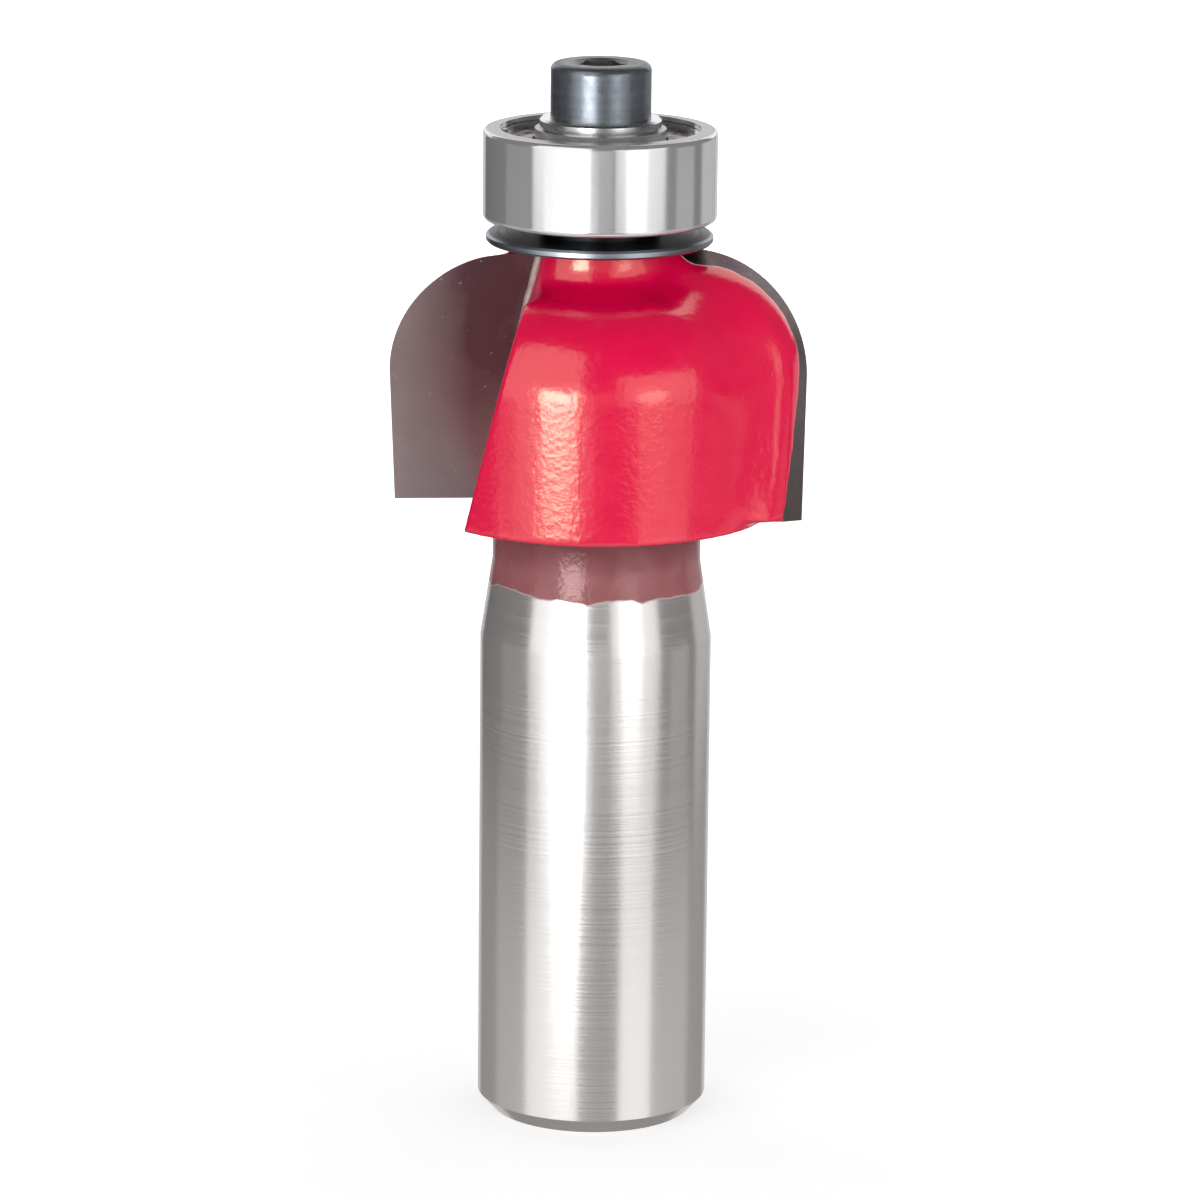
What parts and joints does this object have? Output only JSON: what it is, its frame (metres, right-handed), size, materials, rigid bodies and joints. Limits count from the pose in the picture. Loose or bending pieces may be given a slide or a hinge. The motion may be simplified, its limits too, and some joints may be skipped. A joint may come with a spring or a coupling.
{
  "type": "router bit",
  "caption": "Cove router bit: two brazed carbide wings on a red coated head, a ball-bearing guide ring on top and a plain cylindrical shank.",
  "frame": {"origin": "centre of the shank's end face, on the axis that the bit turns about", "axes": "+Z along that axis, from the shank to the screw head; +X towards the corner of one wing; seen from +Z the bit cuts counter-clockwise"},
  "size_m": [0.0226, 0.0188, 0.0587],
  "materials": {
    "coated_steel": "crimson non-stick coating on the head, bare ground steel on the shank",
    "carbide": "ground cemented carbide, dark grey",
    "dark_washer": "black oxide",
    "bright_washer": "zinc plated",
    "black_screw": "black oxide, satin",
    "bearing_steel": "finely ground and polished",
    "shield_steel": "pressed sheet, satin",
    "spring_wire": "bright drawn wire",
    "ball_steel": "lapped",
    "cage_steel": "pressed sheet"
  },
  "bodies": {
    "cutter": {"cutter_body": "coated_steel", "carbide_tip_1": "carbide", "carbide_tip_2": "carbide", "shield_disc": "dark_washer", "spacer_washer": "dark_washer", "bearing_inner_ring": "bearing_steel", "clamp_washer": "bright_washer", "cap_screw": "black_screw"},
    "guide_ring": {"bearing_outer_ring": "bearing_steel", "upper_shield": "shield_steel", "lower_shield": "shield_steel", "upper_shield_clip": "spring_wire", "lower_shield_clip": "spring_wire"},
    "cage": {"ball_cage": "cage_steel"},
    "ball_1": {"ball_1": "ball_steel"},
    "ball_2": {"ball_2": "ball_steel"},
    "ball_3": {"ball_3": "ball_steel"},
    "ball_4": {"ball_4": "ball_steel"},
    "ball_5": {"ball_5": "ball_steel"},
    "ball_6": {"ball_6": "ball_steel"},
    "ball_7": {"ball_7": "ball_steel"}
  },
  "joints": [
    {"name": "bearing_spin", "type": "hinge", "parent": "cutter", "child": "guide_ring", "pos_m": [0, 0, 0.0526], "axis": [0, 0, 1], "continuous": true},
    {"name": "cage_spin", "type": "hinge", "parent": "cutter", "child": "cage", "pos_m": [0, 0, 0.0526], "axis": [0, 0, 1], "continuous": true},
    {"name": "ball_1_roll", "type": "hinge", "parent": "cage", "child": "ball_1", "pos_m": [0.00437, 0, 0.0526], "axis": [0, 0, 1], "continuous": true},
    {"name": "ball_2_roll", "type": "hinge", "parent": "cage", "child": "ball_2", "pos_m": [0.00272, 0.00341, 0.0526], "axis": [0, 0, 1], "continuous": true},
    {"name": "ball_3_roll", "type": "hinge", "parent": "cage", "child": "ball_3", "pos_m": [-0.00097, 0.00426, 0.0526], "axis": [0, 0, 1], "continuous": true},
    {"name": "ball_4_roll", "type": "hinge", "parent": "cage", "child": "ball_4", "pos_m": [-0.00393, 0.00189, 0.0526], "axis": [0, 0, 1], "continuous": true},
    {"name": "ball_5_roll", "type": "hinge", "parent": "cage", "child": "ball_5", "pos_m": [-0.00393, -0.00189, 0.0526], "axis": [0, 0, 1], "continuous": true},
    {"name": "ball_6_roll", "type": "hinge", "parent": "cage", "child": "ball_6", "pos_m": [-0.00097, -0.00426, 0.0526], "axis": [0, 0, 1], "continuous": true},
    {"name": "ball_7_roll", "type": "hinge", "parent": "cage", "child": "ball_7", "pos_m": [0.00272, -0.00341, 0.0526], "axis": [0, 0, 1], "continuous": true}
  ],
  "couplings": [
    {"joint": "cage_spin", "follows": "bearing_spin", "ratio": 0.63635},
    {"joint": "ball_1_roll", "follows": "bearing_spin", "ratio": 1.6971},
    {"joint": "ball_2_roll", "follows": "bearing_spin", "ratio": 1.6971},
    {"joint": "ball_3_roll", "follows": "bearing_spin", "ratio": 1.6971},
    {"joint": "ball_4_roll", "follows": "bearing_spin", "ratio": 1.6971},
    {"joint": "ball_5_roll", "follows": "bearing_spin", "ratio": 1.6971},
    {"joint": "ball_6_roll", "follows": "bearing_spin", "ratio": 1.6971},
    {"joint": "ball_7_roll", "follows": "bearing_spin", "ratio": 1.6971}
  ]
}
